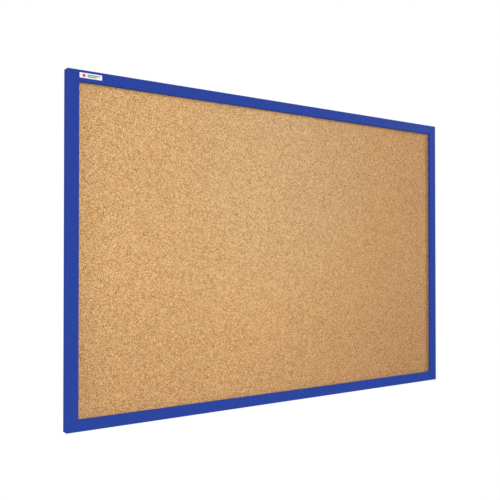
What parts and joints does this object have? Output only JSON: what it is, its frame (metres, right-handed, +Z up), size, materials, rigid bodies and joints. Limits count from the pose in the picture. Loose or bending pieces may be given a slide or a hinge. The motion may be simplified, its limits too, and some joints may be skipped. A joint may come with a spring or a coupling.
{
  "type": "cork bulletin board",
  "caption": "Framed rectangular cork board for pinning notices, with mitred painted wood rails and two swinging D-ring hangers on the back.",
  "frame": {"origin": "on the wall's surface, midway between the hinge lines of the two hangers on the back of the board", "axes": "+Z up, +X to the right as seen from the front, +Y from the board's front to the wall, so the front faces -Y"},
  "size_m": [0.9, 0.0222, 0.6],
  "materials": {
    "frame": "satin",
    "cork": "matte",
    "softboard": "matte",
    "hardboard": "satin",
    "fastener_steel": "satin",
    "point_steel": "satin",
    "hanger_steel": "polished",
    "bumper": "matte",
    "label": "satin"
  },
  "bodies": {
    "board": {"frame_top_rail": "frame", "frame_right_rail": "frame", "frame_bottom_rail": "frame", "frame_left_rail": "frame", "cork_sheet": "cork", "softboard_core": "softboard", "hardboard_back": "hardboard", "label": "label", "v_nail_top_left_outer": "fastener_steel", "v_nail_top_left_inner": "fastener_steel", "v_nail_top_right_outer": "fastener_steel", "v_nail_top_right_inner": "fastener_steel", "v_nail_bottom_right_outer": "fastener_steel", "v_nail_bottom_right_inner": "fastener_steel", "v_nail_bottom_left_outer": "fastener_steel", "v_nail_bottom_left_inner": "fastener_steel", "panel_point_top_1": "point_steel", "panel_point_top_2": "point_steel", "panel_point_top_3": "point_steel", "panel_point_top_4": "point_steel", "panel_point_right_1": "point_steel", "panel_point_right_2": "point_steel", "panel_point_right_3": "point_steel", "panel_point_bottom_1": "point_steel", "panel_point_bottom_2": "point_steel", "panel_point_bottom_3": "point_steel", "panel_point_bottom_4": "point_steel", "panel_point_left_1": "point_steel", "panel_point_left_2": "point_steel", "panel_point_left_3": "point_steel", "hanger_left_strap": "hanger_steel", "hanger_right_strap": "hanger_steel", "hanger_left_screw": "hanger_steel", "hanger_right_screw": "hanger_steel", "bumper_left": "bumper", "bumper_right": "bumper"},
    "left_ring": {"hanger_left_ring": "hanger_steel"},
    "right_ring": {"hanger_right_ring": "hanger_steel"}
  },
  "joints": [
    {"name": "left_ring_swing", "type": "hinge", "parent": "board", "child": "left_ring", "pos_m": [-0.44275, -0.0021, 0], "axis": [1, 0, 0], "range_deg": [0, 175]},
    {"name": "right_ring_swing", "type": "hinge", "parent": "board", "child": "right_ring", "pos_m": [0.44275, -0.0021, 0], "axis": [1, 0, 0], "range_deg": [0, 175]}
  ]
}
